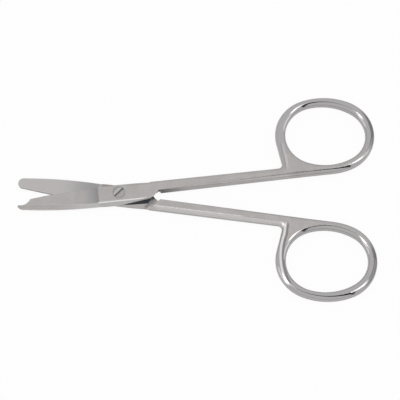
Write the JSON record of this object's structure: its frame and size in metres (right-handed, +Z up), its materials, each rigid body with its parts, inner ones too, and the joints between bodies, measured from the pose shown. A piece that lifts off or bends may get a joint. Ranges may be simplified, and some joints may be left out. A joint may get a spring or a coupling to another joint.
{
  "type": "suture scissors",
  "caption": "Small stitch scissors with a crescent-notched blade over a round blunt blade, a slotted pivot screw and oval finger rings.",
  "frame": {"origin": "on the pivot screw's axis, at the plane the scissors rest on", "axes": "+X from the pivot towards the finger rings, +Y towards the ring of the upper half, +Z up along the screw's axis towards its slotted head"},
  "size_m": [0.0878, 0.0543, 0.0023],
  "materials": {
    "satin_steel_upper": "satin shank and block, polished finger ring",
    "satin_steel_lower": "satin shank and blade, polished finger ring",
    "screw_steel": "satin, with a dark slot"
  },
  "bodies": {
    "blunt_half": {"blunt_blade_half": "satin_steel_lower", "joint_screw": "screw_steel"},
    "hook_half": {"hook_blade_half": "satin_steel_upper"}
  },
  "joints": [
    {"name": "blade_pivot", "type": "hinge", "parent": "blunt_half", "child": "hook_half", "pos_m": [0, 0, 0.00115], "axis": [0, 0, 1], "range_deg": [-14, 46]}
  ]
}
